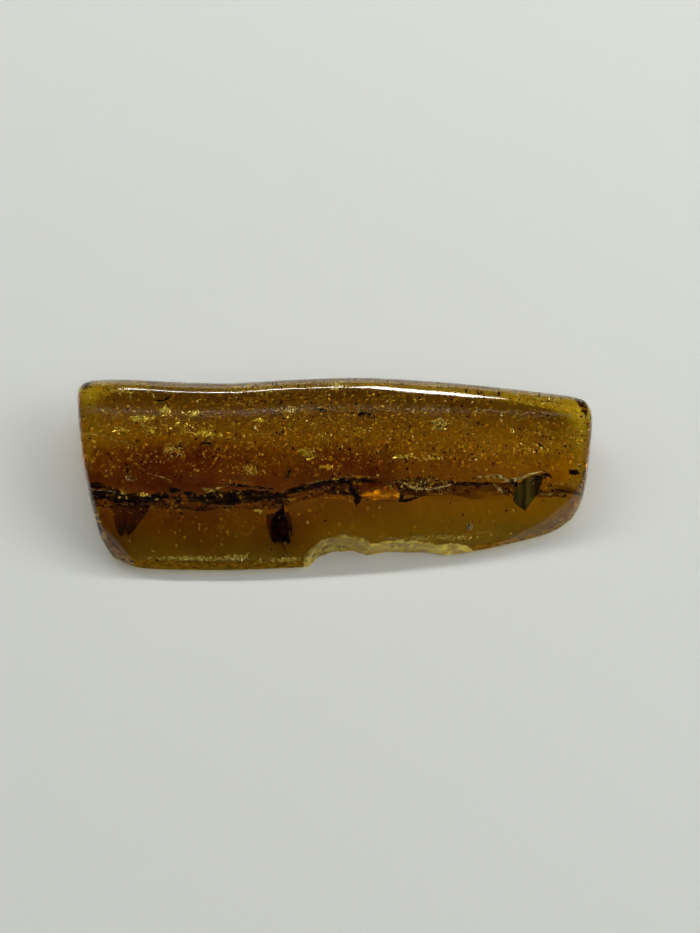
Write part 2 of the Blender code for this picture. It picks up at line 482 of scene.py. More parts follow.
# Weathered skins: where a run of resin lay bare it was stained red-brown before the next
# run covered it, which left a level, clear film that only tints the light. Two lie under
# the veil and one low at the left. The steeper sheet along the back is painted shade.
SKINS = [
    ((-33.6, 10.0), (-5.2, 3.4), 4.4, 0.9),
    ((4.0, 33.8), (-5.0, 3.0), 4.2, 0.4),
    ((-33.0, 0.0), (-13.0, -3.4), 1.7, 0.42),
]
SKIN_FADE_ALONG = 0.12
SKIN_FADE_ACROSS = 0.3
SKIN_THICKNESS = 0.05
# The sheet along the back: a film tinted brown just inside the back face, painted shade that darkens the
# back edge
CRUST_ENDS = (-34.0, 33.6)
CRUST_PAINTED_SHADE = 0.2
CRUST_INSET = 0.5
CRUST_LEAN = 3.0
CRUST_HEIGHTS = (0.5, 8.6)


def skin_and_shade_sheet_material():
    """Weathered resin skin: clear, stained red-brown in soft patches, and glassy; on the back sheet the tint
    is painted shade.
    """
    material, tree, output = new_material("weathered_skin_and_shade_sheet")
    place = add_node(tree, "ShaderNodeTexCoord", {}).outputs["Object"]
    patches = add_node(tree, "ShaderNodeTexNoise", {"Scale": 110.0, "Detail": 4.0}, [("Vector", place)])
    depth = add_node(
        tree, "ShaderNodeMapRange", {"From Min": 0.3, "From Max": 0.7, "To Min": 0.6, "To Max": 1.3},
        [("Value", patches.outputs["Fac"])],
    )
    stain = add_node(tree, "ShaderNodeAttribute", {"attribute_name": "stain"}).outputs["Fac"]
    amount = add_node(
        tree, "ShaderNodeMath", {"operation": "MULTIPLY", "use_clamp": True},
        [(0, stain), (1, depth.outputs[0])],
    )
    tint = add_node(
        tree, "ShaderNodeMix", {"data_type": "RGBA", 6: linear("ffffff"), 7: linear("b08644")},
        [("Factor", amount.outputs[0])],
    )
    shader = add_node(
        tree, "ShaderNodeBsdfPrincipled",
        {"Roughness": 0.02, "IOR": SEALED_IOR, "Metallic": 0.0, "Transmission Weight": 1.0},
        [("Base Color", tint.outputs[2])],
    )
    tree.links.new(shader.outputs[0], output.inputs["Surface"])
    return material


skins = bmesh.new()
stain_and_shade_layer = skins.verts.layers.float.new("stain")
for (left, right), (front, back), level, strength in SKINS:
    grid = bmesh.ops.create_grid(skins, x_segments=90, y_segments=30, size=0.5)
    for vert in grid["verts"]:
        share = Vector((vert.co.x + 0.5, vert.co.y + 0.5))
        along = min(share.x * 3.0, 1.0 - share.x) / SKIN_FADE_ALONG
        inward = min(1.0, along, min(share.y, 1.0 - share.y) / SKIN_FADE_ACROSS)
        vert[stain_and_shade_layer] = strength * inward * inward * (3.0 - 2.0 * inward)
        x = between((left, right), share.x)
        y = between((front, back), share.y)
        z = level + 0.3 * noise.noise(Vector((x / 5.0, y / 4.0, level)))
        vert.co = Vector((x, y, z)) * MM
# The sheet along the back, tinted evenly as painted shade
grid = bmesh.ops.create_grid(skins, x_segments=120, y_segments=20, size=0.5)
for vert in grid["verts"]:
    x = between(CRUST_ENDS, vert.co.x + 0.5)
    up = vert.co.y + 0.5
    vert[stain_and_shade_layer] = CRUST_PAINTED_SHADE
    y = smooth_between(BACK_SIDE, 0, 1, x) - CRUST_INSET - CRUST_LEAN * (up * up + (1.0 - up) ** 4)
    vert.co = Vector((x, y, between(CRUST_HEIGHTS, up))) * MM
bmesh.ops.recalc_face_normals(skins, faces=skins.faces)
bmesh.ops.solidify(skins, geom=skins.faces[:], thickness=SKIN_THICKNESS * MM)
new_piece(skins, "weathered_skin_and_shade_sheet", skin_and_shade_sheet_material())


# Bark and twig pieces caught on the veil: a long splinter with a pale torn crest,
# a dark strip that arches over to the right, a rotted streak at the left end and
# smaller crumbs. Each is a rough, closed, fibrous sliver.
PATH_STEPS = 6
ROUND_SEGMENTS = 12


def smooth_path(stations, steps=PATH_STEPS):
    """More stations between the given ones, on a smooth curve through all their values."""
    finer = []
    for index in range(len(stations) - 1):
        here, there = stations[index], stations[index + 1]
        before = stations[max(index - 1, 0)]
        after = stations[min(index + 2, len(stations) - 1)]
        for step in range(steps):
            t = step / steps
            weights = (
                -0.5 * t**3 + t**2 - 0.5 * t,
                1.5 * t**3 - 2.5 * t**2 + 1,
                -1.5 * t**3 + 2 * t**2 + 0.5 * t,
                0.5 * t**3 - 0.5 * t**2,
            )
            values = zip(before, here, there, after)
            finer.append(tuple(sum(w * v for w, v in zip(weights, four)) for four in values))
    finer.append(tuple(stations[-1]))
    return finer


def join_in(bm, part):
    """Add a finished part to the bmesh that it belongs to."""
    mesh = mesh_of(part, "part")
    bm.from_mesh(mesh)
    bpy.data.meshes.remove(mesh)


def add_limb(bm, stations, segments=ROUND_SEGMENTS, steps=PATH_STEPS, depth=0.0, grain=0.5):
    """Loft a closed sliver through stations of x, y, z, width and height in mm."""
    path = smooth_path(stations, steps)
    limb = bmesh.new()
    rings = []
    for index, (x, y, z, width, height) in enumerate(path):
        before = Vector(path[max(index - 1, 0)][:3])
        after = Vector(path[min(index + 1, len(path) - 1)][:3])
        turn = (after - before).to_track_quat("Z", "Y").to_matrix().to_4x4()
        size = Matrix.Diagonal((max(width, 0.02) / 2, max(height, 0.02) / 2, 1.0, 1.0))
        place = Matrix.Scale(MM, 4) @ Matrix.Translation((x, y, z)) @ turn @ size
        circle = bmesh.ops.create_circle(limb, segments=segments, radius=1.0, matrix=place)
        rings.append(list({edge for vert in circle["verts"] for edge in vert.link_edges}))
    for first, second in zip(rings, rings[1:]):
        bmesh.ops.bridge_loops(limb, edges=first + second)
    bmesh.ops.holes_fill(limb, edges=rings[0] + rings[-1], sides=segments)
    bmesh.ops.recalc_face_normals(limb, faces=limb.faces)
    if depth:
        roughen(limb, depth, grain)
    join_in(bm, limb)


def add_plate(bm, outline, thickness, bulge=0.0, depth=0.05, grain=0.6):
    """A thin closed flake through corners of x, y and z in mm, domed and a little crumpled."""
    flake = bmesh.new()
    corners = [flake.verts.new(Vector(corner) * MM) for corner in outline]
    flake.faces.new(corners)
    middle = sum((vert.co for vert in corners), Vector()) / len(corners)
    reach = max((vert.co - middle).length for vert in corners)
    bmesh.ops.poke(flake, faces=flake.faces[:])
    for _ in range(3):
        bmesh.ops.subdivide_edges(flake, edges=flake.edges[:], cuts=1, use_grid_fill=True)
    for vert in flake.verts:
        share = (vert.co - middle).length / reach
        crumple = noise.noise(vert.co / (grain * MM)) * depth
        vert.co.z += (bulge * (1.0 - share**2) + crumple) * MM
    bmesh.ops.recalc_face_normals(flake, faces=flake.faces)
    bmesh.ops.solidify(flake, geom=flake.faces[:], thickness=thickness * MM)
    bmesh.ops.recalc_face_normals(flake, faces=flake.faces)
    join_in(bm, flake)


# Each sliver is a list of stations (x, y, z, width and height in millimetres), how rough
# it is and the grain of that
SPLINTER = [
    ([(-18.0, -6.1, 6.7, 0.2, 0.2), (-17.0, -5.9, 6.7, 1.2, 0.8), (-15.0, -5.9, 6.6, 1.9, 1.1),
      (-13.0, -5.8, 6.6, 1.9, 1.0), (-11.0, -5.7, 6.6, 1.7, 0.9), (-9.0, -5.6, 6.7, 1.2, 0.7),
      (-7.6, -5.7, 6.7, 0.8, 0.5), (-6.4, -5.6, 6.7, 0.4, 0.3)], 0.35, 0.9),
    ([(-14.2, -4.3, 7.2, 0.1, 0.1), (-13.2, -4.3, 7.2, 0.5, 0.4), (-12.0, -4.5, 7.2, 0.35, 0.3),
      (-10.0, -4.7, 7.2, 0.3, 0.2), (-8.0, -4.9, 7.1, 0.1, 0.1)], 0.15, 0.5),
]
STREAK = [
    ([(-33.2, -5.0, 6.4, 0.5, 0.6), (-31.9, -5.0, 6.4, 1.1, 1.1), (-29.8, -5.3, 6.4, 1.6, 1.2),
      (-28.0, -5.7, 6.4, 1.6, 1.2), (-26.5, -6.0, 6.4, 1.3, 1.0), (-24.6, -6.0, 6.4, 1.0, 0.8),
      (-23.0, -5.7, 6.4, 0.9, 0.7), (-21.8, -5.5, 6.4, 0.3, 0.3)], 0.45, 0.8),
    ([(-32.6, -3.8, 6.4, 0.3, 0.3), (-31.4, -3.8, 6.4, 0.8, 0.4), (-30.2, -4.1, 6.3, 0.5, 0.4),
      (-29.2, -4.5, 6.2, 0.15, 0.15)], 0.3, 0.6),
    ([(-20.0, -4.7, 6.2, 0.1, 0.1), (-19.2, -5.2, 6.2, 0.9, 0.6), (-18.2, -5.8, 6.1, 0.8, 0.5),
      (-17.6, -6.1, 6.1, 0.15, 0.1)], 0.4, 0.5),
    ([(-22.2, -3.9, 5.4, 0.1, 0.1), (-21.4, -4.1, 5.4, 0.7, 0.4), (-20.4, -4.0, 5.4, 0.15, 0.1)],
     0.3, 0.5),
]
STRIP = [
    ([(-7.2, -5.8, 6.8, 0.15, 0.1), (-6.2, -5.3, 6.8, 0.6, 0.4), (-4.7, -4.8, 6.8, 0.9, 0.5),
      (-3.2, -4.3, 6.8, 1.0, 0.5), (-1.6, -3.9, 6.8, 0.9, 0.5), (0.4, -3.6, 6.8, 0.8, 0.5),
      (2.2, -3.5, 6.8, 0.7, 0.4), (4.2, -3.5, 6.8, 0.35, 0.3), (6.4, -3.8, 6.8, 0.08, 0.08)],
     0.22, 0.7),
    ([(14.4, -3.5, 6.4, 0.2, 0.2), (15.6, -3.5, 6.3, 0.45, 0.35), (17.8, -3.6, 6.2, 0.6, 0.4),
      (19.6, -3.6, 6.2, 0.45, 0.35), (21.6, -3.5, 6.2, 0.1, 0.1)], 0.2, 0.6),
    ([(29.4, -3.9, 5.6, 0.08, 0.06), (30.8, -4.2, 5.4, 0.35, 0.2), (32.2, -4.2, 5.0, 0.3, 0.2),
      (33.4, -4.1, 4.4, 0.12, 0.1)], 0.12, 0.5),
    ([(31.4, -1.9, 5.8, 0.1, 0.1), (32.0, -1.6, 5.9, 0.7, 0.4), (32.6, -1.5, 5.8, 0.6, 0.4),
      (33.2, -1.6, 5.6, 0.1, 0.1)], 0.35, 0.4),
    ([(27.4, -3.0, 6.9, 0.1, 0.1), (28.0, -2.7, 6.9, 0.5, 0.3), (28.6, -2.6, 6.8, 0.5, 0.3),
      (29.2, -2.9, 6.6, 0.1, 0.1)], 0.3, 0.4),
]
for name, slivers in (("bark_splinter", SPLINTER), ("rotted_streak", STREAK), ("dark_strip", STRIP)):
    bark = bmesh.new()
    for stations, depth, grain in slivers:
        add_limb(bark, stations, depth=depth, grain=grain)
    new_piece(bark, name, litter)


# Torn pale fibre and froth on the veil: the crest of the splinter, the light edges along
# the strip, and the ragged crest right of the middle. Dry, matte, mottled with brown and
# full of trapped air, so it is the lightest thing in the lump.
froth = mottled_material(
    "pale_froth", (1800.0,) * 3, 4.0, [(0.38, "6a5428"), (0.58, "fff6d8")],
    {"Roughness": 0.6}, dents=(0.7, 0.0001),
)
PALE_SLIVERS = [
    [(-17.4, -5.0, 7.4, 0.1, 0.1), (-16.4, -5.3, 7.4, 0.5, 0.3), (-15.4, -5.0, 7.4, 0.35, 0.25),
     (-14.2, -4.7, 7.4, 0.06, 0.06)],
    [(8.6, -3.9, 7.3, 0.06, 0.06), (9.6, -4.2, 7.3, 0.3, 0.2), (10.4, -4.7, 7.2, 0.4, 0.25),
     (11.6, -4.9, 7.2, 0.35, 0.25), (13.0, -4.9, 7.2, 0.3, 0.2), (14.4, -4.6, 7.2, 0.3, 0.2),
     (15.8, -4.2, 7.2, 0.08, 0.08)],
    [(18.4, -3.2, 7.2, 0.06, 0.06), (19.6, -3.0, 7.2, 0.45, 0.2), (20.8, -3.1, 7.2, 0.35, 0.2),
     (22.4, -3.0, 7.1, 0.6, 0.3), (23.1, -3.6, 7.0, 0.4, 0.3), (24.2, -3.4, 7.0, 0.5, 0.3),
     (25.6, -2.8, 7.0, 0.35, 0.25), (27.2, -2.3, 7.0, 0.25, 0.15), (29.4, -1.8, 6.8, 0.05, 0.05)],
    [(21.3, -3.9, 6.8, 0.06, 0.06), (22.1, -4.6, 6.6, 0.4, 0.2), (22.5, -5.1, 6.4, 0.06, 0.06)],
    [(28.5, -3.3, 6.3, 0.05, 0.04), (30.2, -3.4, 6.0, 0.12, 0.06), (32.4, -3.1, 5.4, 0.14, 0.06)],
    [(27.5, -4.7, 5.4, 0.04, 0.04), (29.0, -4.6, 5.2, 0.14, 0.05), (30.6, -4.5, 4.9, 0.04, 0.04)],
    [(0.8, -3.2, 7.2, 0.04, 0.04), (2.4, -3.0, 7.2, 0.12, 0.06), (4.2, -3.1, 7.2, 0.1, 0.05),
     (6.2, -3.3, 7.2, 0.04, 0.04)],
    [(-3.4, -4.2, 7.2, 0.04, 0.04), (-1.6, -3.7, 7.2, 0.1, 0.05), (0.6, -3.5, 7.2, 0.04, 0.04)],
    [(-31.8, -5.0, 7.1, 0.04, 0.04), (-29.6, -5.2, 7.1, 0.1, 0.06), (-27.6, -5.7, 7.1, 0.04, 0.04)],
    [(6.2, -9.8, 3.1, 0.05, 0.05), (7.6, -9.9, 2.9, 0.14, 0.1), (9.0, -9.8, 2.8, 0.05, 0.05)],
    [(10.2, -9.7, 2.8, 0.05, 0.05), (11.2, -9.6, 2.8, 0.24, 0.15), (12.2, -9.5, 2.7, 0.05, 0.05)],
    [(13.2, -9.5, 2.7, 0.05, 0.05), (14.2, -9.4, 2.7, 0.24, 0.15), (15.4, -9.3, 2.6, 0.05, 0.05)],
    [(16.4, -9.2, 2.5, 0.05, 0.05), (18.3, -8.9, 2.4, 0.16, 0.1), (20.3, -8.6, 2.3, 0.12, 0.1),
     (22.4, -8.1, 2.3, 0.05, 0.05)],
]
crest = bmesh.new()
for sliver in PALE_SLIVERS:
    add_limb(crest, sliver, segments=8, steps=10, depth=0.16, grain=0.25)
new_piece(crest, "pale_crest", froth)


# The winged insect left of the middle: a small planthopper, seen from above with its
# forewings folded like a roof. It is half rotted, so it has kept its outline but few details.
# Cuticle is dark brown to black, with a weak gloss and paler thin places.
cuticle = mottled_material(
    "insect_cuticle", (1500.0,) * 3, 3.0, [(0.42, "0c0402"), (0.68, "3a180c")],
    {"Roughness": 0.4}, dents=(0.4, 0.00005),
)
# A wing's membrane is a film of it, stained red-brown, thin enough to see through
membrane = mottled_material(
    "wing_membrane", (3000.0, 500.0, 500.0), 3.0, [(0.35, "300e02"), (0.65, "6e2c08")],
    {"Roughness": 0.4, "Alpha": 0.5},
)
HOPPER_BODY = [
    (-6.7, -6.8, 6.6, 0.1, 0.1), (-6.75, -7.2, 6.3, 0.35, 0.3), (-6.9, -7.7, 5.9, 1.0, 0.8),
    (-7.05, -8.4, 5.1, 1.4, 1.0), (-7.1, -9.2, 4.2, 1.5, 0.9), (-7.1, -9.9, 3.3, 1.3, 0.7),
    (-7.1, -10.4, 2.9, 0.5, 0.3),
]
FOREWINGS = [
    [(-7.2, -7.5, 6.1), (-7.7, -7.8, 5.9), (-8.1, -8.3, 5.3), (-8.25, -9.2, 4.5), (-8.3, -9.8, 3.7),
     (-8.3, -10.4, 3.0), (-7.9, -10.7, 2.7), (-7.6, -10.4, 2.9), (-7.3, -10.7, 2.8), (-7.0, -10.3, 3.2),
     (-7.0, -9.3, 4.4), (-7.0, -8.4, 5.4)],
    [(-6.8, -7.5, 6.2), (-6.5, -7.8, 5.9), (-6.2, -8.4, 5.2), (-6.0, -9.2, 4.4), (-5.9, -9.8, 3.5),
     (-5.7, -10.6, 2.7), (-6.1, -10.7, 2.6), (-6.5, -10.3, 2.9), (-6.9, -10.7, 2.7), (-7.05, -10.2, 3.4),
     (-7.0, -9.3, 4.4), (-7.0, -8.4, 5.4)],
]
HOPPER_LEGS = [
    [(-7.3, -8.1, 5.3, 0.16, 0.14), (-8.4, -7.7, 5.4, 0.1, 0.1), (-8.9, -8.2, 4.9, 0.07, 0.07)],
    [(-7.4, -8.7, 4.6, 0.16, 0.14), (-8.7, -8.8, 4.5, 0.1, 0.1), (-9.0, -9.3, 3.8, 0.06, 0.06)],
    [(-6.6, -8.2, 5.3, 0.16, 0.14), (-5.8, -7.8, 5.2, 0.1, 0.1), (-5.4, -8.4, 4.7, 0.06, 0.06)],
    [(-6.6, -8.9, 4.5, 0.16, 0.14), (-5.6, -9.2, 4.0, 0.1, 0.1), (-5.4, -9.8, 3.3, 0.06, 0.06)],
    [(-6.7, -6.8, 6.5, 0.08, 0.08), (-6.9, -6.5, 6.6, 0.05, 0.05), (-7.3, -6.3, 6.6, 0.04, 0.04)],
    [(-7.0, -10.4, 2.7, 0.14, 0.12), (-6.6, -10.9, 2.0, 0.14, 0.12), (-6.3, -11.4, 1.3, 0.06, 0.06)],
]
HINDWINGS = [
    [(-7.9, -7.7, 5.6), (-8.9, -7.8, 5.5), (-9.0, -8.4, 4.8), (-8.7, -9.3, 3.9), (-8.4, -10.1, 3.0),
     (-8.0, -9.3, 4.0)],
    [(-6.4, -7.5, 5.6), (-6.0, -7.5, 5.6), (-5.6, -8.3, 4.8), (-5.5, -9.2, 3.8), (-5.6, -10.1, 2.9),
     (-6.0, -9.2, 3.9)],
]
hopper = bmesh.new()
add_limb(hopper, HOPPER_BODY, depth=0.18, grain=0.5)
for outline in FOREWINGS:
    add_plate(hopper, outline, 0.1, bulge=0.15, depth=0.14, grain=0.5)
for leg in HOPPER_LEGS:
    add_limb(hopper, leg, segments=6, steps=5, depth=0.03, grain=0.3)
new_piece(hopper, "planthopper", cuticle)
hindwings = bmesh.new()
for outline in HINDWINGS:
    add_plate(hindwings, outline, 0.04, bulge=0.1, depth=0.1)


# At the left, two folded wing lobes that hang from the rotted streak like an
# open V. They are thin brown films with a darker rim and long veins.
LOBES = [
    [(-29.5, -6.3, 5.4), (-29.2, -7.1, 4.8), (-29.0, -8.0, 4.0), (-28.7, -8.9, 3.2), (-28.3, -9.4, 2.7),
     (-28.0, -9.2, 3.2), (-27.7, -8.4, 4.2), (-27.5, -7.5, 5.2), (-27.4, -6.7, 5.8)],
    [(-27.3, -6.8, 5.8), (-26.3, -6.7, 5.9), (-25.4, -6.7, 6.0), (-24.5, -7.0, 5.9), (-25.1, -7.7, 5.3),
     (-25.9, -8.5, 4.5), (-26.7, -9.2, 3.7), (-27.3, -9.5, 3.1), (-27.7, -9.4, 3.1), (-27.7, -8.7, 3.9),
     (-27.5, -7.7, 5.0)],
]
VEIN = 0.06
VEIN_RISE = 0.08
VEINS = [
    [(-28.8, -6.4, 5.5), (-28.5, -7.8, 4.3), (-28.3, -9.3, 2.9)],
    [(-28.1, -6.6, 5.6), (-28.0, -7.8, 4.6), (-28.2, -9.2, 3.1)],
    [(-26.8, -6.8, 5.8), (-27.0, -8.0, 4.8), (-27.4, -9.4, 3.2)],
    [(-26.0, -6.7, 5.9), (-26.5, -8.0, 4.8), (-27.3, -9.4, 3.2)],
    [(-25.2, -6.8, 5.9), (-26.0, -7.9, 5.0), (-27.1, -9.4, 3.3)],
]
lobe_rims = bmesh.new()
for outline in LOBES:
    add_plate(hindwings, outline, 0.06, bulge=0.1, depth=0.08)
    rim = [(x, y, z, VEIN * 1.6, VEIN) for x, y, z in outline + outline[:1]]
    add_limb(lobe_rims, rim, segments=6, steps=4, depth=0.03, grain=0.3)
for vein in VEINS:
    path = [(x, y, z + VEIN_RISE, VEIN, VEIN) for x, y, z in vein]
    add_limb(lobe_rims, path, segments=6, steps=5)
new_piece(lobe_rims, "wing_veins", cuticle)
new_piece(hindwings, "wing_membranes", membrane)


# Two bent leg-like twigs right of the middle, either side of the bright crack. They are
# scraps of the same rotted bark, stuck to the veil when the second flow came.
LEG_TWIGS = [
    [(1.9, -3.3, 6.4, 0.3, 0.3), (2.4, -4.1, 6.2, 0.5, 0.4), (2.7, -4.9, 6.0, 0.7, 0.5),
     (3.1, -5.7, 5.9, 0.8, 0.5), (3.0, -6.7, 5.8, 0.3, 0.3)],
    [(2.9, -5.5, 5.9, 0.4, 0.3), (3.8, -5.5, 5.9, 0.5, 0.3), (4.6, -5.8, 5.8, 0.12, 0.12)],
    [(7.8, -3.1, 6.4, 0.2, 0.2), (8.6, -3.7, 6.2, 0.5, 0.4), (9.0, -4.4, 6.0, 0.5, 0.4),
     (9.1, -5.2, 5.9, 0.5, 0.4), (8.9, -5.9, 5.8, 0.4, 0.3)],
    [(8.8, -5.8, 5.8, 0.35, 0.3), (9.9, -5.8, 5.8, 0.4, 0.25), (10.8, -5.5, 5.8, 0.4, 0.25),
     (11.3, -5.3, 5.8, 0.1, 0.1)],
]
twigs = bmesh.new()
for twig in LEG_TWIGS:
    add_limb(twigs, twig, segments=10, steps=7, depth=0.22, grain=0.45)
new_piece(twigs, "leg_twigs", litter)


# Gnats and other small flies in the second flow. Each has a round head, a humped thorax,
# a long soft abdomen, six hair-thin legs and two clear wings, and is given as its middle,
# its heading in degrees, its length and how far it curls.
GNATS = [
    ((-23.3, 7.9, 8.7), 20.0, 2.2, 0.5),
    ((-17.1, 0.9, 8.4), 190.0, 1.7, 0.1),
    ((-1.9, 6.2, 8.8), -25.0, 2.0, 0.1),
    ((4.5, 5.3, 8.5), 165.0, 2.5, 0.6),
    ((-6.1, -2.3, 6.4), 60.0, 1.5, 0.2),
    ((-27.6, -1.9, 7.0), 100.0, 1.7, 0.3),
]
# Half of a wing's outline from above, in lengths of the gnat: along it and out from it
GNAT_WING = [
    (0.22, 0.06), (0.1, 0.16), (-0.15, 0.3), (-0.4, 0.34), (-0.48, 0.26), (-0.35, 0.14), (0.0, 0.05),
]


def add_gnat(body, wings, middle, heading, length, curl):
    """One gnat with its legs and wings, lying on its side or back."""
    turn = Matrix.Translation(middle) @ Matrix.Rotation(math.radians(heading), 4, "Z")

    def station(along, across, up, width, height):
        bend = curl * (4 * along * along - 0.5)
        place = turn @ Vector((along * length, (across + bend * 0.4) * length, up * length))
        return (*place, width * length, height * length)

    add_limb(body, [
        station(0.5, 0, 0, 0.04, 0.04), station(0.45, 0, 0, 0.16, 0.16), station(0.36, 0, 0, 0.09, 0.09),
        station(0.25, 0, 0.02, 0.24, 0.27), station(0.1, 0, 0, 0.19, 0.2), station(0.02, 0, 0, 0.12, 0.12),
        station(-0.18, 0, 0, 0.17, 0.17), station(-0.36, 0, 0, 0.13, 0.13), station(-0.5, 0, 0, 0.03, 0.03),
    ], segments=8, steps=3, depth=0.04, grain=0.3)
    for side in (-1, 1):
        for root in (0.3, 0.18, 0.08):
            reach = root - 0.18
            add_limb(body, [
                station(root, 0.05 * side, -0.05, 0.035, 0.035),
                station(root + reach * 0.8, 0.3 * side, 0.08, 0.03, 0.03),
                station(root + reach * 2.2 - 0.1, 0.52 * side, -0.12, 0.02, 0.02),
            ], segments=5, steps=3)
        outline = [station(along, across * side, 0.1, 0, 0)[:3] for along, across in GNAT_WING]
        add_plate(wings, outline, 0.02, bulge=0.05, depth=0.04)


# A gnat's wing is almost clear, with a faint brown stain and a glossy face
gnat_wing = mottled_material(
    "gnat_wing", (1200.0,) * 3, 2.0, [(0.0, "4a3212"), (1.0, "a08848")], {"Roughness": 0.25, "Alpha": 0.3}
)
gnat_bodies = bmesh.new()
gnat_wings = bmesh.new()
for gnat in GNATS:
    add_gnat(gnat_bodies, gnat_wings, *gnat)
new_piece(gnat_bodies, "gnats", cuticle)
new_piece(gnat_wings, "gnat_wings", gnat_wing)


# The grey-green flake near the right end: a leaf or wing scrap just under the
# polish, four-sided, with a dark midline between two lighter bands that are partly painted sheen.
LEAF = [
    (24.0, -5.4, 4.8), (24.3, -4.5, 5.6), (24.7, -3.7, 6.2), (25.4, -3.1, 6.5), (26.2, -2.8, 6.7),
    (27.2, -2.5, 6.6), (28.2, -2.5, 6.4), (27.8, -3.4, 5.8), (27.4, -4.4, 5.0), (26.6, -5.2, 4.3),
    (25.7, -6.1, 3.5), (24.9, -5.9, 4.1), (24.3, -5.6, 4.5),
]
LEAF_LEFT = 24.0
LEAF_WIDTH = 4.2
LEAF_BANDS_AND_SHEEN = [
    (0.0, "2a2a0c"), (0.2, "685f40"), (0.36, "2a1f10"), (0.5, "7e7450"), (0.64, "5a5034"),
    (0.78, "261c0c"), (1.0, "4a4412"),
]


def leaf_material():
    """Pressed leaf: grey-green, matte, banded across from its left edge to its right, the lighter bands
    partly painted sheen.
    """
    material, tree, output = new_material("pressed_leaf")
    place = add_node(tree, "ShaderNodeTexCoord", {}).outputs["Object"]
    across = add_node(
        tree, "ShaderNodeMapping",
        {"Location": (-LEAF_LEFT / LEAF_WIDTH, 0.0, 0.0), "Scale": (1000.0 / LEAF_WIDTH, 150.0, 150.0)},
        [("Vector", place)],
    ).outputs[0]
    share = add_node(tree, "ShaderNodeSeparateXYZ", {}, [("Vector", across)]).outputs["X"]
    grain = add_node(tree, "ShaderNodeTexNoise", {"Scale": 5.0, "Detail": 3.0}, [("Vector", across)])
    wobble = add_node(
        tree, "ShaderNodeMapRange", {"To Min": -0.08, "To Max": 0.08}, [("Value", grain.outputs["Fac"])]
    )
    band = add_node(tree, "ShaderNodeMath", {"operation": "ADD"}, [(0, share), (1, wobble.outputs[0])])
    ramp = add_node(tree, "ShaderNodeValToRGB", {"stops": LEAF_BANDS_AND_SHEEN}, [("Fac", band.outputs[0])])
    shader = add_node(
        tree, "ShaderNodeBsdfPrincipled",
        {"Roughness": 0.55, "IOR": SEALED_IOR, "Metallic": 0.0},
        [("Base Color", ramp.outputs["Color"])],
    )
    tree.links.new(shader.outputs[0], output.inputs["Surface"])
    return material


leaf = bmesh.new()
add_plate(leaf, LEAF, 0.1, bulge=0.12, depth=0.1, grain=1.2)
new_piece(leaf, "leaf_flake", leaf_material())


# Everything that comes in hundreds: dust, bubbles and froth, caught while the resin was
# soft, and the small cracks that came as it set and was cut. One small shape is made for
# each and repeated at its places as one mesh.
BAR_REACH = Vector((35.0, 13.5))


def scatter(name, grain, places, material):
    """Repeat a small bmesh at (middle, turn, sizes, shade) places, in mm, as one joined piece."""
    grain.verts.ensure_lookup_table()
    points = numpy.array([vert.co[:] for vert in grain.verts])
    faces = numpy.array([[vert.index for vert in face.verts] for face in grain.faces])
    grain.free()
    count = len(places)
    turns = numpy.array([numpy.array(turn.to_matrix()) for _, turn, _, _ in places])
    sizes = numpy.array([size for _, _, size, _ in places])
    middles = numpy.array([middle[:] for middle, _, _, _ in places])
    scaled = points[None, :, :] * sizes[:, None, :]
    corners = numpy.einsum("nij,npj->npi", turns, scaled) + middles[:, None, :]
    joined = faces[None, :, :] + (numpy.arange(count) * len(points))[:, None, None]
    mesh = bpy.data.meshes.new(name)
    mesh.from_pydata(corners.reshape(-1, 3) * MM, [], joined.reshape(-1, faces.shape[1]))
    shades = mesh.attributes.new("shade", "FLOAT", "POINT")
    shades.data.foreach_set("value", numpy.repeat([shade for _, _, _, shade in places], len(points)))
    keep_piece(mesh, name, material)


def ball(subdivisions, flatness=1.0):
    """A unit ball, or a lens if it is flattened."""
    grain = bmesh.new()
    bmesh.ops.create_icosphere(grain, subdivisions=subdivisions, radius=1.0)
    bmesh.ops.scale(grain, vec=(1.0, 1.0, flatness), verts=grain.verts)
    return grain


def inside_point(chance, gap=0.25, lift=1.0):
    """A random place in the amber, in mm; a lift below 1 crowds it towards the top."""
    while True:
        x = chance.uniform(-BAR_REACH.x, BAR_REACH.x)
        y = chance.uniform(-BAR_REACH.y, BAR_REACH.y)
        room = room_inside(x, y, gap)
        if room:
            return Vector((x, y, between(room, chance.random() ** lift)))


def well_inside(point, gap=0.2):
    """Whether a place in mm is in the amber and clear of its faces."""
    room = room_inside(point.x, point.y, gap)
    return bool(room) and room[0] < point.z < room[1]


def any_turn(chance, tilt=180.0, lean=(0.0, 0.0)):
    """A random turn, or a nearly level one if the tilt is small."""
    about_x = math.radians(lean[0] + chance.uniform(-tilt, tilt))
    about_y = math.radians(lean[1] + chance.uniform(-tilt, tilt))
    spin = Matrix.Rotation(chance.uniform(0.0, math.tau), 3, "Z")
    level = Matrix.Rotation(about_x, 3, "X") @ Matrix.Rotation(about_y, 3, "Y")
    return (level @ spin).to_quaternion()


# Resin dust: crumbs and tiny froth stirred into the second flow, behind the
# veil. It lies in streaks along the bar, and the first flow is nearly clear of it.
DUST_COUNT = 9500
DUST_RADIUS = (0.04, 0.1)
SPECK_COUNT = 7000
SPECK_RADIUS = (0.05, 0.2)
DUST_SHADES = [(0.75, 0.95), (0.8, 0.95), (0.7, 0.9), (0.6, 0.9), (0.05, 0.35)]
SPECK_SHADES = [(0.8, 0.95), (0.75, 0.95), (0.6, 0.9), (0.5, 0.85), (0.05, 0.35)]
SHADE_COLOURS = [(0.0, "180c06"), (0.3, "5a3a10"), (0.55, "cc9a2c"), (0.85, "ffe27c"), (1.0, "fff8dc")]
STREAK_SCALE = Vector((0.07, 0.45, 0.5))
CLUMP_SIZE = 0.9
CLUMPING = 0.9
FLOW_EDGE = -3.2


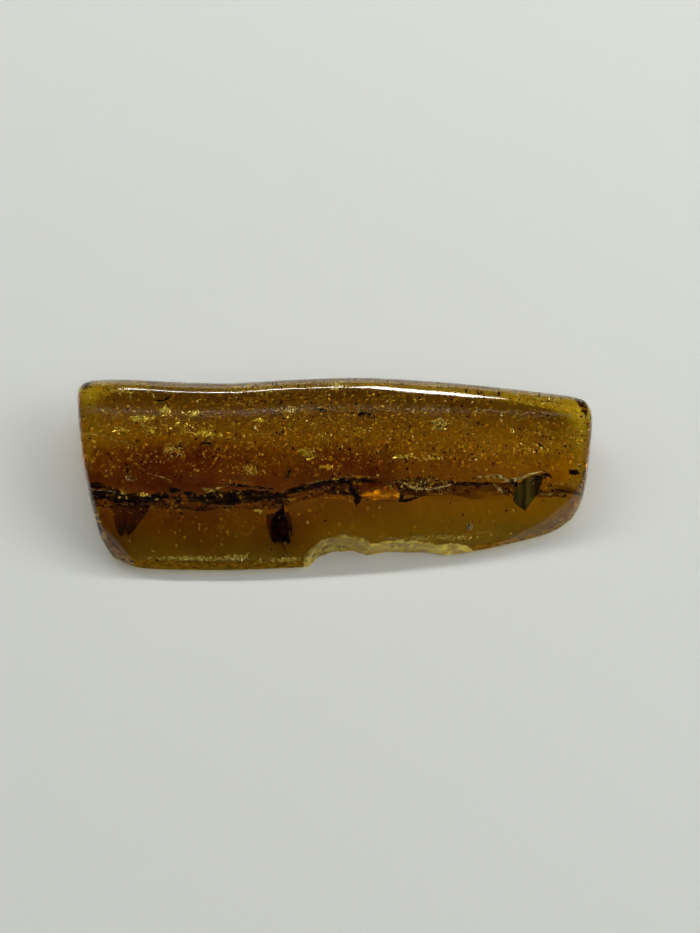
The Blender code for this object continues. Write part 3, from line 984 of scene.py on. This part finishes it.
def dust_material():
    """Dry crumbs, from dark brown to cream by their own shade, quite matte."""
    material, tree, output = new_material("resin_dust")
    shade = add_node(tree, "ShaderNodeAttribute", {"attribute_name": "shade"}).outputs["Fac"]
    ramp = add_node(tree, "ShaderNodeValToRGB", {"stops": SHADE_COLOURS}, [("Fac", shade)])
    shader = add_node(
        tree, "ShaderNodeBsdfPrincipled",
        {"Roughness": 0.6, "IOR": SEALED_IOR, "Metallic": 0.0},
        [("Base Color", ramp.outputs["Color"])],
    )
    tree.links.new(shader.outputs[0], output.inputs["Surface"])
    return material


def stir_in(chance, count, radii, shades, lift):
    """Grains of dust, thick in the streaks of the second flow and thin elsewhere."""
    grains = []
    while len(grains) < count:
        point = inside_point(chance, 0.25, lift)
        streak_here = noise.noise(Vector(a * b for a, b in zip(point, STREAK_SCALE)))
        streak_here += CLUMPING * noise.noise(point / CLUMP_SIZE)
        into_flow = min(1.0, max(0.0, (point.y - FLOW_EDGE - 0.34 * (6.0 - point.z)) / 3.0))
        if chance.random() > 0.05 + into_flow * (0.55 + 0.9 * streak_here):
            continue
        radius = between(radii, chance.random() ** 2.5)
        size = tuple(radius * chance.uniform(0.7, 1.4) for _ in range(3))
        grains.append((point, any_turn(chance), size, chance.uniform(*chance.choice(shades))))
    return grains


dust_bits = dust_material()
fine_dust = stir_in(random.Random(11), DUST_COUNT, DUST_RADIUS, DUST_SHADES, 0.45)
scatter("resin_dust", ball(1), fine_dust, dust_bits)
specks = stir_in(random.Random(12), SPECK_COUNT, SPECK_RADIUS, SPECK_SHADES, 0.5)
scatter("resin_specks", ball(1), specks, dust_bits)

# Pale clots, where torn fibre and froth hang together: each a middle, spread and count
CLOTS = [
    ((-21.1, -0.1, 8.9), (1.4, 1.2, 0.3), 130), ((-11.1, -2.7, 8.0), (1.4, 1.0, 0.4), 120),
    ((-5.9, 5.8, 9.3), (0.9, 0.6, 0.2), 70), ((14.1, 3.8, 8.9), (1.1, 0.8, 0.3), 60),
    ((-29.0, 9.6, 8.2), (1.8, 0.7, 0.2), 60), ((0.8, 10.2, 8.5), (1.6, 0.6, 0.2), 80),
    ((-3.4, -0.5, 8.4), (1.0, 0.7, 0.3), 50), ((-26.8, -4.0, 8.2), (0.7, 0.6, 0.2), 40),
    ((9.5, -0.8, 8.4), (1.6, 0.3, 0.2), 40), ((12.5, -1.0, 8.2), (1.6, 0.3, 0.2), 40),
    ((13.9, 10.5, 7.9), (1.4, 0.4, 0.2), 40), ((-8.8, 9.2, 8.6), (2.0, 0.8, 0.2), 50),
    ((7.5, -4.7, 7.4), (0.4, 0.3, 0.2), 16), ((30.4, 7.9, 7.6), (1.6, 1.0, 0.2), 50),
    ((-13.5, -4.3, 8.0), (2.0, 0.5, 0.3), 40), ((33.4, -2.4, 4.4), (0.8, 0.8, 0.6), 40),
]
chance = random.Random(14)
clots = []
for middle, spread, count in CLOTS:
    for _ in range(count):
        point = Vector(m + chance.gauss(0.0, 0.5) * s for m, s in zip(middle, spread))
        if well_inside(point):
            radius = 0.035 + 0.1 * chance.random() ** 2
            size = (radius * chance.uniform(1.0, 2.0), radius, radius * 0.7)
            clots.append((point, any_turn(chance, 30.0), size, chance.choice((0.9, 1.0, 0.7, 0.15))))
scatter("pale_clots", ball(2), clots, dust_bits)

# Coarser grit lies on the veil itself and hangs from the litter
GRIT_COUNT = 1300
GRIT_ENDS = (-33.5, 34.0)
GRIT_HEIGHTS = (3.0, 7.6)
GRIT_SPREAD = 0.45
chance = random.Random(16)
grit = []
while len(grit) < GRIT_COUNT:
    x = chance.uniform(*GRIT_ENDS)
    z = chance.uniform(*GRIT_HEIGHTS)
    y = smooth_between(VEIL_LINE, 0, 1, x) + (VEIL_LINE_HEIGHT - z) * VEIL_LEAN
    y += chance.gauss(0.0, GRIT_SPREAD)
    point = Vector((x, y, z))
    if noise.noise(Vector((x / 2.5, 3.0, z / 2.5))) < -0.05 or not well_inside(point):
        continue
    if abs(x - VEIL_GAP[0]) < VEIL_GAP[1] or x > 5.0 and chance.random() < 0.7:
        continue
    radius = 0.05 + 0.16 * chance.random() ** 3
    size = (radius * chance.uniform(0.8, 2.5), radius * chance.uniform(0.7, 1.3), radius)
    grit.append((point, any_turn(chance, 25.0), size, chance.choice((0.0, 0.1, 0.2, 0.3, 0.6, 0.8))))
scatter("veil_grit", ball(1), grit, dust_bits)


# One round grain of grey sand or spore mass, right of the middle: a dull mineral grain,
# pitted, that fell on the first flow; its pale chalky spots are partly its own colour and partly painted
# highlights.
BEAD_PLACE = Vector((18.2, -8.3, 3.1))
BEAD_RADIUS = 0.46
grey_mineral_painted_glints = mottled_material(
    "grey_grain_painted_glints", (2200.0,) * 3, 3.0, [(0.4, "2c2c30"), (0.66, "ececf2")], {"Roughness": 0.7}
)
bead = ball(4)
bmesh.ops.scale(bead, vec=(BEAD_RADIUS * MM,) * 3, verts=bead.verts)
bmesh.ops.translate(bead, vec=BEAD_PLACE * MM, verts=bead.verts)
roughen(bead, 0.06, 0.25)
new_piece(bead, "grey_grain_painted_glints", grey_mineral_painted_glints)


# Air: round bubbles, and a froth of them on the veil right of the middle. A
# bubble is a hole in the resin, so light bends into it the other way.
BUBBLE_COUNT = 260
FOAM_COUNT = 220
FOAM_MIDDLE = Vector((11.7, -3.7, 6.9))
FOAM_REACH = (3.2, 0.6, 0.5)
BUBBLES = [
    ((19.6, -7.9, 3.4), 0.2), ((7.5, -4.5, 7.4), 0.38), ((7.6, -3.7, 7.1), 0.2),
    ((-26.6, -3.9, 8.1), 0.3), ((-27.0, -3.5, 8.2), 0.2), ((-18.9, -8.2, 5.6), 0.14),
    ((-10.0, -4.9, 7.6), 0.22), ((-10.4, -4.6, 7.6), 0.16), ((28.2, -5.3, 4.6), 0.13),
]


def bubble_material():
    """Air inside amber: mirror smooth, clear, with the index of air over that of amber."""
    material, tree, output = new_material("air_bubble")
    place = add_node(tree, "ShaderNodeTexCoord", {}).outputs["Object"]
    skin = add_node(tree, "ShaderNodeTexNoise", {"Scale": 900.0}, [("Vector", place)])
    polish = add_node(
        tree, "ShaderNodeMapRange", {"To Min": 0.0, "To Max": 0.05}, [("Value", skin.outputs["Fac"])]
    )
    shader = add_node(
        tree, "ShaderNodeBsdfPrincipled",
        {"Base Color": linear("ffffff"), "IOR": 1.0 / AMBER_IOR, "Transmission Weight": 1.0},
        [("Roughness", polish.outputs[0])],
    )
    tree.links.new(shader.outputs[0], output.inputs["Surface"])
    return material


bubble_air = bubble_material()
chance = random.Random(23)
bubbles = [(Vector(middle), any_turn(chance), (radius,) * 3, 1.0) for middle, radius in BUBBLES]
while len(bubbles) < BUBBLE_COUNT:
    point = inside_point(chance, 0.35, 0.6)
    if point.y < FLOW_EDGE + 1.0:
        continue
    radius = 0.06 + 0.1 * chance.random() ** 3
    bubbles.append((point, any_turn(chance), (radius * chance.uniform(1.0, 1.8), radius, radius), 1.0))
scatter("air_bubbles", ball(3), bubbles, bubble_air)

foam = []
foam_crumbs = []
while len(foam) < FOAM_COUNT:
    spread = Vector(chance.gauss(0.0, 0.45) for _ in range(3))
    point = FOAM_MIDDLE + Vector(a * b for a, b in zip(spread, FOAM_REACH))
    radius = 0.06 + 0.12 * chance.random() ** 2
    foam.append((point, any_turn(chance), (radius,) * 3, 1.0))
    for _ in range(3):
        crumb = point + Vector((chance.gauss(0.0, 0.3), chance.gauss(0.0, 0.2), chance.gauss(-0.2, 0.15)))
        shade = chance.choice((0.0, 0.1, 0.25, 0.6, 0.95))
        foam_crumbs.append((crumb, any_turn(chance), (radius * 1.5, radius, radius * 0.8), shade))
scatter("bubble_foam", ball(2), foam, bubble_air)
scatter("foam_crumbs", ball(1), foam_crumbs, dust_bits)


# Spangles: flat cracks in the resin with a film of air in them. The smooth ones
# shine like gold leaf where they face the light, and the crazed ones are pale.
def spangle_material():
    """An air film in a crack: a mirror where it is smooth, matte and pale where it is crazed."""
    material, tree, output = new_material("air_film_crack")
    place = add_node(tree, "ShaderNodeTexCoord", {}).outputs["Object"]
    smooth = add_node(tree, "ShaderNodeAttribute", {"attribute_name": "shade"}).outputs["Fac"]
    ripple = add_node(tree, "ShaderNodeTexNoise", {"Scale": 2500.0, "Detail": 2.0}, [("Vector", place)])
    bump = add_node(
        tree, "ShaderNodeBump", {"Strength": 0.5, "Distance": 0.00005}, [("Height", ripple.outputs["Fac"])]
    )
    shader = add_node(
        tree, "ShaderNodeBsdfPrincipled",
        {"Base Color": linear("fff09c"), "Roughness": 0.25, "IOR": SEALED_IOR},
        [("Normal", bump.outputs[0]), ("Metallic", smooth)],
    )
    tree.links.new(shader.outputs[0], output.inputs["Surface"])
    return material


# Each group of spangles: its middle, how far it spreads, how many, and the largest radius
SPANGLE_GROUPS = [
    ((-25.8, 4.8, 8.9), (1.6, 0.4, 0.2), 34, 0.34), ((-22.7, 5.8, 9.0), (0.9, 0.8, 0.3), 20, 0.4),
    ((-18.8, 5.5, 8.9), (1.6, 0.4, 0.2), 18, 0.3), ((-28.6, 2.9, 8.8), (1.2, 0.6, 0.3), 14, 0.22),
    ((-24.8, 3.0, 8.9), (1.4, 0.6, 0.3), 22, 0.26), ((-17.3, 2.3, 8.9), (2.2, 0.5, 0.3), 34, 0.28),
    ((-20.5, 3.4, 8.8), (3.0, 1.0, 0.3), 40, 0.2), ((-10.0, 4.4, 8.6), (1.4, 0.1, 0.1), 10, 0.3),
    ((-5.9, 5.8, 9.3), (0.9, 0.7, 0.2), 24, 0.28), ((14.1, 3.8, 8.9), (1.1, 0.8, 0.3), 24, 0.26),
    ((24.1, 3.0, 8.7), (0.15, 0.15, 0.05), 4, 0.3), ((3.0, 2.9, 8.6), (2.0, 0.8, 0.4), 16, 0.2),
    ((-1.4, 1.9, 8.7), (2.0, 0.8, 0.4), 16, 0.2), ((26.4, 0.7, 8.3), (2.0, 0.8, 0.3), 12, 0.2),
    ((33.2, 2.4, 6.3), (0.6, 1.6, 0.3), 14, 0.2), ((28.7, 8.4, 7.8), (2.4, 0.8, 0.2), 14, 0.24),
    ((24.9, 9.4, 7.7), (0.5, 0.3, 0.1), 6, 0.26), ((-3.4, -0.5, 8.4), (1.0, 0.8, 0.3), 18, 0.24),
    ((-0.8, -1.6, 6.8), (0.7, 0.3, 0.2), 10, 0.3), ((0.4, -3.1, 6.4), (0.6, 0.2, 0.2), 8, 0.25),
    ((9.5, -0.8, 8.4), (1.6, 0.25, 0.2), 16, 0.26), ((12.5, -1.0, 8.2), (1.8, 0.25, 0.2), 18, 0.26),
    ((0.8, 10.2, 8.5), (2.0, 0.7, 0.2), 30, 0.24), ((-29.0, 9.6, 8.2), (2.0, 0.7, 0.2), 22, 0.24),
    ((13.9, 10.5, 7.9), (2.0, 0.4, 0.2), 18, 0.24), ((-10.0, 10.0, 8.4), (5.0, 0.6, 0.2), 30, 0.2),
    ((-4.0, 3.4, 7.6), (18.0, 4.0, 1.2), 160, 0.2), ((20.0, 1.0, 7.4), (9.0, 3.0, 0.8), 70, 0.18),
    ((-25.2, -5.9, 7.3), (0.9, 0.15, 0.1), 12, 0.26), ((-10.0, -7.7, 6.2), (0.5, 0.2, 0.1), 6, 0.22),
    ((-31.6, -6.8, 3.6), (0.5, 1.9, 0.5), 110, 0.2), ((-30.6, -9.4, 2.4), (0.5, 0.9, 0.5), 50, 0.16),
    ((-18.0, -12.4, 1.7), (7.0, 0.35, 0.35), 130, 0.18), ((-13.0, -12.3, 1.8), (1.2, 0.45, 0.3), 60, 0.22),
    ((-6.5, -12.4, 1.4), (2.4, 0.35, 0.3), 60, 0.2), ((0.8, -4.5, 4.4), (1.5, 0.16, 0.1), 40, 0.18),
    ((14.5, -9.6, 2.4), (6.0, 0.3, 0.3), 90, 0.18), ((30.0, -6.4, 1.4), (1.8, 0.8, 0.4), 30, 0.14),
    ((-14.0, -9.5, 4.0), (8.0, 1.6, 0.8), 60, 0.1), ((14.0, -7.5, 4.0), (9.0, 1.0, 0.8), 46, 0.1),
]
SPANGLE_RICHNESS = 1.6
SPANGLE_LEANS = [
    (-13.5, 38.0), (-10.5, 37.0), (-8.0, 16.5), (-6.0, 12.1), (-2.2, 4.6), (1.0, -3.4), (13.5, -3.4),
]
SPANGLE_TILT = 9.0


def leaned(y):
    """How a film of air lies at a place across the bar: more steeply under the sloping front."""
    return smooth_between(SPANGLE_LEANS, 0, 1, y), 0.0


chance = random.Random(37)
spangles = []
for middle, spread, count, largest in SPANGLE_GROUPS:
    for _ in range(round(count * SPANGLE_RICHNESS)):
        point = Vector(m + chance.gauss(0.0, 0.5) * s for m, s in zip(middle, spread))
        if not well_inside(point, 0.1):
            continue
        radius = largest * (0.25 + 0.75 * chance.random() ** 2)
        size = (radius * chance.uniform(0.8, 1.7), radius * chance.uniform(0.5, 0.9), radius)
        mirror = chance.choice((0.0, 0.0, 1.0))
        spangles.append((point, any_turn(chance, SPANGLE_TILT, leaned(point.y)), size, mirror))
scatter("spangles", ball(2, 0.08), spangles, spangle_material())


# The bright crack between the two twigs: one curved, crazed film of air that throws the light back up
# through the resin, so it shines orange. Its colour is a painted highlight: light yellow-orange along its
# front lip and darker orange behind, where it also thins away. Sparks of it go on to the left.
BRIGHT_CRACK = [
    (3.6, -5.1, 6.05), (4.3, -5.5, 5.97), (4.9, -5.8, 5.9), (5.7, -5.85, 5.89), (6.6, -5.6, 5.94),
    (7.6, -5.7, 5.92), (8.7, -5.4, 5.99), (8.9, -4.7, 6.14), (7.8, -4.1, 6.27), (6.0, -3.9, 6.31),
    (4.6, -4.2, 6.25),
]
CRACK_MIRROR = 0.8
CRACK_LIP = -5.7
CRACK_END = -3.6
LIP_SPARKS = 110
LIP_ENDS = (3.8, 8.6)
LIP_TILT = 5.0
LEFT_TILT = 6.0
LEFT_SPARKS = [
    (60, ((0.8, 0.8), (-5.6, 0.1), (6.2, 0.1)), (0.04, 0.12)),
    (20, ((0.0, 0.7), (-2.2, 0.5), (6.4, 0.1)), (0.05, 0.14)),
]


def painted_glow_crack_material():
    """A crazed film of air seen through amber: a near mirror, with a painted highlight, light at its lip and
    dark and thin behind.
    """
    material, tree, output = new_material("crazed_air_film_painted_glow")
    place = add_node(tree, "ShaderNodeTexCoord", {}).outputs["Object"]
    across = add_node(tree, "ShaderNodeSeparateXYZ", {}, [("Vector", place)]).outputs["Y"]
    crazing = add_node(tree, "ShaderNodeTexNoise", {"Scale": 1300.0, "Detail": 3.0}, [("Vector", place)])
    fade = add_node(
        tree, "ShaderNodeMapRange",
        {"From Min": CRACK_LIP * MM, "From Max": CRACK_END * MM, "To Min": 1.1, "To Max": -0.2},
        [("Value", across)],
    )
    patchy = add_node(
        tree, "ShaderNodeMapRange", {"From Min": 0.3, "From Max": 0.6, "To Min": -0.4, "To Max": 0.25},
        [("Value", crazing.outputs["Fac"])],
    )
    cover = add_node(
        tree, "ShaderNodeMath", {"operation": "ADD", "use_clamp": True},
        [(0, fade.outputs[0]), (1, patchy.outputs[0])],
    )
    # Painted highlight: dark orange behind, light yellow-orange at the lip
    glow = add_node(
        tree, "ShaderNodeMix",
        {"data_type": "RGBA", "clamp_factor": True, 6: linear("c45c0c"), 7: linear("ffc034")},
        [("Factor", fade.outputs[0])],
    )
    shader = add_node(
        tree, "ShaderNodeBsdfPrincipled",
        {"Roughness": 0.3, "Metallic": CRACK_MIRROR},
        [("Base Color", glow.outputs[2]), ("Alpha", cover.outputs[0])],
    )
    tree.links.new(shader.outputs[0], output.inputs["Surface"])
    return material


crack_film_painted_glow = painted_glow_crack_material()
crack = bmesh.new()
add_plate(crack, BRIGHT_CRACK, 0.04, bulge=0.02, depth=0.02, grain=0.4)
new_piece(crack, "bright_crack", crack_film_painted_glow)
chance = random.Random(41)
sparks = []
for _ in range(LIP_SPARKS):
    point = Vector((chance.uniform(*LIP_ENDS), chance.gauss(-5.62, 0.08), chance.gauss(6.12, 0.03)))
    radius = 0.05 + 0.09 * chance.random() ** 2
    sparks.append((point, any_turn(chance, LIP_TILT, leaned(point.y)), (radius * 2.0, radius, radius), 1.0))
for count, spreads, (smallest, growth) in LEFT_SPARKS:
    for _ in range(count):
        point = Vector(chance.gauss(*spread) for spread in spreads)
        radius = smallest + growth * chance.random() ** 2
        turn = any_turn(chance, LEFT_TILT, leaned(point.y))
        sparks.append((point, turn, (radius * 1.6, radius, radius), 1.0))
scatter("crack_sparks", ball(1, 0.3), sparks, crack_film_painted_glow)


# Flow lines: where one run of resin skinned over before the next covered it, a hair-thin
# pale seam of froth is left between them.
FLOW_LINES = [
    [(-34.2, 2.7, 8.2, 0.05, 0.05), (-32.4, 2.4, 8.6, 0.14, 0.1), (-30.8, 2.0, 8.7, 0.14, 0.1),
     (-29.4, 1.4, 8.8, 0.16, 0.1), (-27.8, 0.9, 8.8, 0.14, 0.1), (-26.3, 0.1, 8.8, 0.04, 0.04)],
    [(-14.0, 2.2, 7.6, 0.04, 0.04), (-12.0, 2.5, 7.6, 0.1, 0.06), (-10.0, 2.7, 7.6, 0.1, 0.06),
     (-7.9, 2.8, 7.6, 0.04, 0.04)],
    [(-25.0, -2.4, 6.8, 0.04, 0.04), (-23.0, -3.0, 6.8, 0.16, 0.1), (-21.0, -3.8, 6.8, 0.04, 0.04)],
]
seams = bmesh.new()
for line in FLOW_LINES:
    add_limb(seams, line, segments=6, steps=10, depth=0.04, grain=0.6)
new_piece(seams, "flow_lines", froth)


# Not part of the object: a pale paper-like floor, soft studio light and the
# camera at the photograph's angle.
FLOOR_SIZE = 3.0
FLOOR_GAP = 0.00004
CAMERA_ELEVATION = math.radians(60)
CAMERA_DISTANCE = 0.190
CAMERA_TARGET = Vector((2.2, 0.35, 4.0)) * MM
CAMERA_LENS = 53.5

floor_bm = bmesh.new()
bmesh.ops.create_grid(floor_bm, x_segments=1, y_segments=1, size=FLOOR_SIZE / 2)
bmesh.ops.translate(floor_bm, verts=floor_bm.verts, vec=(0.0, 0.0, -FLOOR_GAP))
floor_mesh = mesh_of(floor_bm, "floor")
paper, paper_tree, paper_out = new_material("pale_paper")
paper_shader = add_node(
    paper_tree, "ShaderNodeBsdfPrincipled", {"Base Color": linear("e6e8e2"), "Roughness": 0.9}
)
paper_tree.links.new(paper_shader.outputs[0], paper_out.inputs["Surface"])
floor_mesh.materials.append(paper)
floor = bpy.data.objects.new("floor", floor_mesh)
bpy.context.scene.collection.objects.link(floor)

world = bpy.data.worlds.new("studio")
bpy.context.scene.world = world
world.use_nodes = True
sky = world.node_tree
sky.nodes.clear()
sky_out = sky.nodes.new("ShaderNodeOutputWorld")
direction = add_node(sky, "ShaderNodeTexCoord", {}).outputs["Generated"]
height = add_node(sky, "ShaderNodeSeparateXYZ", {}, [("Vector", direction)]).outputs["Z"]
fade = add_node(sky, "ShaderNodeValToRGB", {}, [("Fac", height)])
for stop, position, grey in zip(fade.color_ramp.elements, (0.0, 0.55), (0.02, 0.006)):
    stop.position = position
    stop.color = (grey, grey, grey, 1.0)
glow = add_node(sky, "ShaderNodeBackground", {"Strength": 1.0}, [("Color", fade.outputs["Color"])])
sky.links.new(glow.outputs[0], sky_out.inputs["Surface"])


def soft_light(name, place, target, size, power, lights_by=("diffuse", "transmission"), roll=0.0):
    """One rectangular soft box, aimed at a point, and what its light is let into."""
    data = bpy.data.lights.new(name, "AREA")
    data.shape = "RECTANGLE"
    data.size, data.size_y = size
    data.energy = power
    lamp = bpy.data.objects.new(name, data)
    lamp.location = place
    aim = (Vector(target) - Vector(place)).to_track_quat("-Z", "Y").to_matrix()
    lamp.rotation_euler = (aim @ Matrix.Rotation(math.radians(roll), 3, "Z")).to_euler()
    lamp.visible_diffuse = "diffuse" in lights_by
    lamp.visible_transmission = "transmission" in lights_by
    lamp.visible_glossy = "glossy" in lights_by
    bpy.context.scene.collection.objects.link(lamp)


soft_light("window", (0.0, 0.40, 0.45), (0.0, 0.0, 0.0), (1.10, 0.03), 2.85)
soft_light("left_box", (-0.60, 0.0, 0.35), (0.0, 0.0, 0.0), (0.60, 0.50), 0.5)
soft_light("right_box", (0.60, 0.0, 0.35), (0.0, 0.0, 0.0), (0.60, 0.50), 2.4)
soft_light("front_box", (0.0, -0.50, 0.80), (0.0, 0.0, 0.0), (0.80, 0.80), 1.7)
soft_light("back_strip", (-0.07, 0.60, 0.155), (0.0, 0.0, 0.0), (0.14, 0.018), 0.14, ("glossy",))
soft_light("back_glow", (0.075, 0.60, 0.22), (0.0, 0.0, 0.0), (0.18, 0.052), 0.50, ("glossy",), -48.0)

camera_data = bpy.data.cameras.new("camera")
camera_data.lens = CAMERA_LENS
camera_data.clip_start = 0.005
camera_data.clip_end = 20.0
camera = bpy.data.objects.new("camera", camera_data)
view = Vector((0.0, math.cos(CAMERA_ELEVATION), -math.sin(CAMERA_ELEVATION)))
camera.location = CAMERA_TARGET - view * CAMERA_DISTANCE
camera.rotation_euler = view.to_track_quat("-Z", "Y").to_euler()
bpy.context.scene.collection.objects.link(camera)
bpy.context.scene.camera = camera

scene = bpy.context.scene
scene.view_settings.view_transform = "Standard"
scene.cycles.max_bounces = 32
scene.cycles.transmission_bounces = 32
scene.cycles.glossy_bounces = 8
scene.cycles.diffuse_bounces = 6
scene.cycles.transparent_max_bounces = 32
